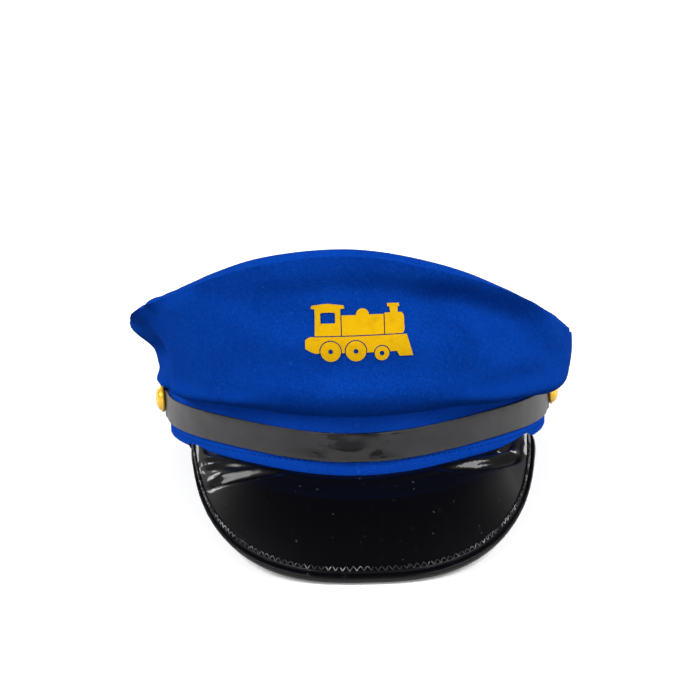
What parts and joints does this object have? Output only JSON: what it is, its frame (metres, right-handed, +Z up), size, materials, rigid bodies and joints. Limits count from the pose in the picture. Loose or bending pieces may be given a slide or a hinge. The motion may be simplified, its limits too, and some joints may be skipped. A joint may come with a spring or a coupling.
{
  "type": "peaked dress-up cap",
  "caption": "Child's soft peaked cap with a tall front, a stiff glossy peak, a narrow strap held by domed buttons and a printed steam engine on the front.",
  "frame": {"origin": "on the floor under the middle of the cap's bounding box", "axes": "+Z up, the peak and the front towards -Y, +X to the right as the front is seen"},
  "size_m": [0.1858, 0.2496, 0.1149],
  "materials": {
    "cloth": "royal blue cotton twill, matt",
    "strap": "dark grey satin vinyl",
    "patent": "black patent vinyl, high gloss",
    "binding": "black patent vinyl strip, sewn with a zigzag stitch",
    "gold": "polished gold",
    "print": "matt yellow heat-pressed print"
  },
  "bodies": {
    "root": {"crown_side": "cloth", "crown_top": "cloth", "band": "cloth", "strap": "strap", "peak": "patent", "peak_binding": "binding", "button_left": "gold", "button_right": "gold", "print_cab": "print", "print_boiler": "print", "print_smokebox": "print", "print_frame": "print", "print_wheel_rear": "print", "print_wheel_middle": "print", "print_wheel_front": "print"}
  },
  "joints": []
}
